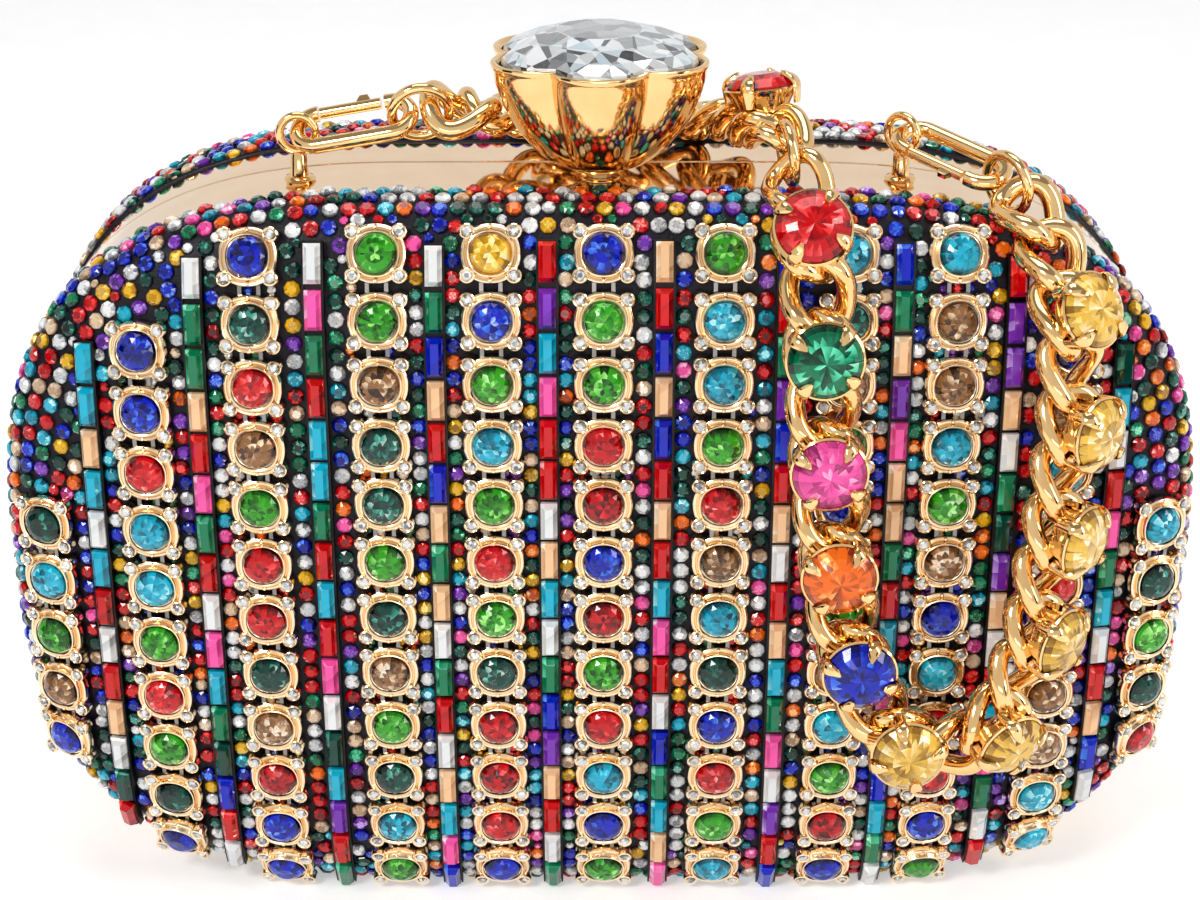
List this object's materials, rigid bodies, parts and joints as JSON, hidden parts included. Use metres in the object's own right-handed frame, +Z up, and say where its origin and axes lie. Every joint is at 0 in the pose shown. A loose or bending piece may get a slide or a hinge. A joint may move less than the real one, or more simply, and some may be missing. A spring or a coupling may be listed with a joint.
{
  "type": "evening clutch",
  "caption": "Jewelled hard-case evening clutch with hinged pillow-shaped halves, crystal knob clasp and a stone-set chain strap with snap hooks.",
  "frame": {"origin": "centre of the bounding box, on the ground under the case's long lower edge", "axes": "+X along the case's width, +Y from the jewelled front to the plain back, +Z up towards the clasp"},
  "size_m": [0.182, 0.0786, 0.1382],
  "materials": {
    "polished_gilt": "polished yellow gilt",
    "pale_gilt": "mirror-polished pale gilt",
    "pave_shell": "near-black base paved with small crystals",
    "lining": "matt satin",
    "clear_crystal": "faceted",
    "ruby_crystal": "faceted",
    "emerald_crystal": "faceted",
    "pink_crystal": "faceted",
    "orange_crystal": "faceted",
    "sapphire_crystal": "faceted",
    "topaz_crystal": "faceted",
    "spring_steel": "bright drawn wire"
  },
  "bodies": {
    "front_half": {"front_shell": "pave_shell", "front_frame": "pale_gilt", "front_lining": "lining", "front_hinge_leaf": "pale_gilt", "hinge_pin": "polished_gilt", "link_column_01": "pale_gilt", "link_column_02": "pale_gilt", "link_column_03": "pale_gilt", "link_column_04": "pale_gilt", "link_column_05": "pale_gilt", "link_column_06": "pale_gilt", "link_column_07": "pale_gilt", "link_column_08": "pale_gilt", "link_column_09": "pale_gilt", "link_column_10": "pale_gilt", "link_column_11": "pale_gilt", "baguette_channel_01": "clear_crystal", "baguette_channel_02": "clear_crystal", "baguette_channel_03": "clear_crystal", "baguette_channel_04": "clear_crystal", "baguette_channel_05": "clear_crystal", "baguette_channel_06": "clear_crystal", "baguette_channel_07": "clear_crystal", "baguette_channel_08": "clear_crystal", "baguette_channel_09": "clear_crystal", "baguette_channel_10": "clear_crystal", "latch_bracket": "polished_gilt", "latch_spring": "spring_steel", "clasp_collar": "polished_gilt", "left_ear": "polished_gilt", "right_ear": "polished_gilt", "left_hook": "polished_gilt", "right_hook": "polished_gilt", "left_jump_ring": "polished_gilt", "middle_jump_ring": "polished_gilt", "right_jump_ring": "polished_gilt", "upper_chain": "polished_gilt", "upper_stone_01_ruby": "ruby_crystal"},
    "back_half": {"back_shell": "pave_shell", "back_frame": "pale_gilt", "back_lining": "lining", "back_hinge_leaf": "pale_gilt", "catch_keeper": "polished_gilt"},
    "clasp_knob": {"clasp_knob_cup": "polished_gilt", "clasp_knob_stone": "clear_crystal", "clasp_stem": "polished_gilt"},
    "left_gate": {"left_hook_gate": "polished_gilt"},
    "right_gate": {"right_hook_gate": "polished_gilt"},
    "strap_loop": {"loop_chain": "polished_gilt", "loop_stone_02_ruby": "ruby_crystal", "loop_stone_03_emerald": "emerald_crystal", "loop_stone_04_pink": "pink_crystal", "loop_stone_05_orange": "orange_crystal", "loop_stone_06_sapphire": "sapphire_crystal", "loop_stone_07_topaz": "topaz_crystal", "loop_stone_08_topaz": "topaz_crystal", "loop_stone_09_topaz": "topaz_crystal", "loop_stone_10_topaz": "topaz_crystal", "loop_stone_11_topaz": "topaz_crystal", "loop_stone_12_topaz": "topaz_crystal"}
  },
  "joints": [
    {"name": "case_hinge", "type": "hinge", "parent": "front_half", "child": "back_half", "pos_m": [0, 0.00848, 0.0016], "axis": [-1, 0, 0], "range_deg": [0, 90]},
    {"name": "clasp_press", "type": "slide", "parent": "front_half", "child": "clasp_knob", "axis": [0, 0, -1], "range_m": [0, 0.0012], "stiffness_N_per_m": 800, "springref_m": -0.002, "deforming": ["latch_spring"]},
    {"name": "left_gate_hinge", "type": "hinge", "parent": "front_half", "child": "left_gate", "pos_m": [-0.03372, 0.00237, 0.12639], "axis": [-0.1864, -0.5556, 0.8103], "range_deg": [0, 18], "stiffness_Nm_per_rad": 0.001},
    {"name": "right_gate_hinge", "type": "hinge", "parent": "front_half", "child": "right_gate", "pos_m": [0.05276, -0.00921, 0.11894], "axis": [0.028, 0.353, -0.9352], "range_deg": [0, 18], "stiffness_Nm_per_rad": 0.001},
    {"name": "strap_loop_swing", "type": "hinge", "parent": "front_half", "child": "strap_loop", "pos_m": [0.02749, -0.01455, 0.12265], "axis": [-0.9876, -0.0598, 0.1449], "range_deg": [0, 90]}
  ]
}
